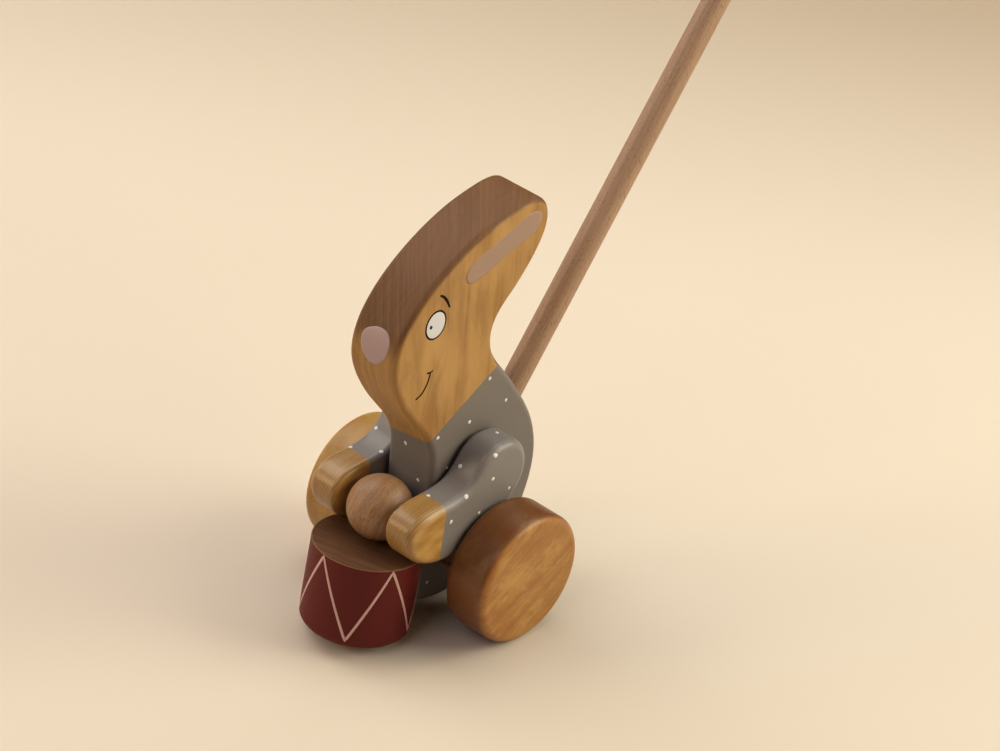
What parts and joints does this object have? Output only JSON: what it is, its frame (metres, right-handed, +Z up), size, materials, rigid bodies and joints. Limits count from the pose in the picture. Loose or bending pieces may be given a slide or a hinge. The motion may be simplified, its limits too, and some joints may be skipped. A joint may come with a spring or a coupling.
{
  "type": "push-along toy",
  "caption": "Wooden push-along rabbit drummer: flat rabbit figure on wheels whose arms beat a drum with a ball as it is pushed on a long stick.",
  "frame": {"origin": "on the floor, midway between the wheels, straight under the axle", "axes": "+X towards the rabbit's left wheel, along the axle; the rabbit faces -Y and the push stick leans back towards +Y; +Z up"},
  "size_m": [0.113, 0.4137, 0.4841],
  "materials": {
    "painted_board": "clear varnish on the head, grey satin paint with small white dots from the neck down",
    "painted_arm": "grey satin paint with small white dots, bare varnished hand",
    "red_drum": "dark red satin paint with a pale pink zigzag line, bare top",
    "wheel_wood": "warm gloss varnish",
    "stick_wood": "plain beech, lightly oiled",
    "ball_wood": "plain beech, lightly oiled",
    "dowel_wood": "plain beech"
  },
  "bodies": {
    "figure": {"figure_panel": "painted_board", "drum": "red_drum", "drum_dowels": "dowel_wood", "push_stick": "stick_wood", "grip_ball": "ball_wood"},
    "wheelset": {"axle": "dowel_wood", "wheel_left": "wheel_wood", "wheel_right": "wheel_wood", "cam_left": "dowel_wood", "cam_right": "dowel_wood"},
    "arms": {"arm_left": "painted_arm", "arm_right": "painted_arm", "shoulder_washer_left": "dowel_wood", "shoulder_washer_right": "dowel_wood", "shoulder_dowel": "dowel_wood", "hand_dowel": "dowel_wood"},
    "beater": {"beater_ball": "ball_wood"}
  },
  "joints": [
    {"name": "wheel_spin", "type": "hinge", "parent": "figure", "child": "wheelset", "pos_m": [0, 0, 0.03175], "axis": [1, 0, 0], "continuous": true},
    {"name": "arm_swing", "type": "hinge", "parent": "figure", "child": "arms", "pos_m": [0, 0.0047, 0.07509], "axis": [-1, 0, 0], "range_deg": [0, 30]},
    {"name": "ball_spin", "type": "hinge", "parent": "arms", "child": "beater", "pos_m": [0, -0.04065, 0.06045], "axis": [1, 0, 0], "continuous": true}
  ]
}
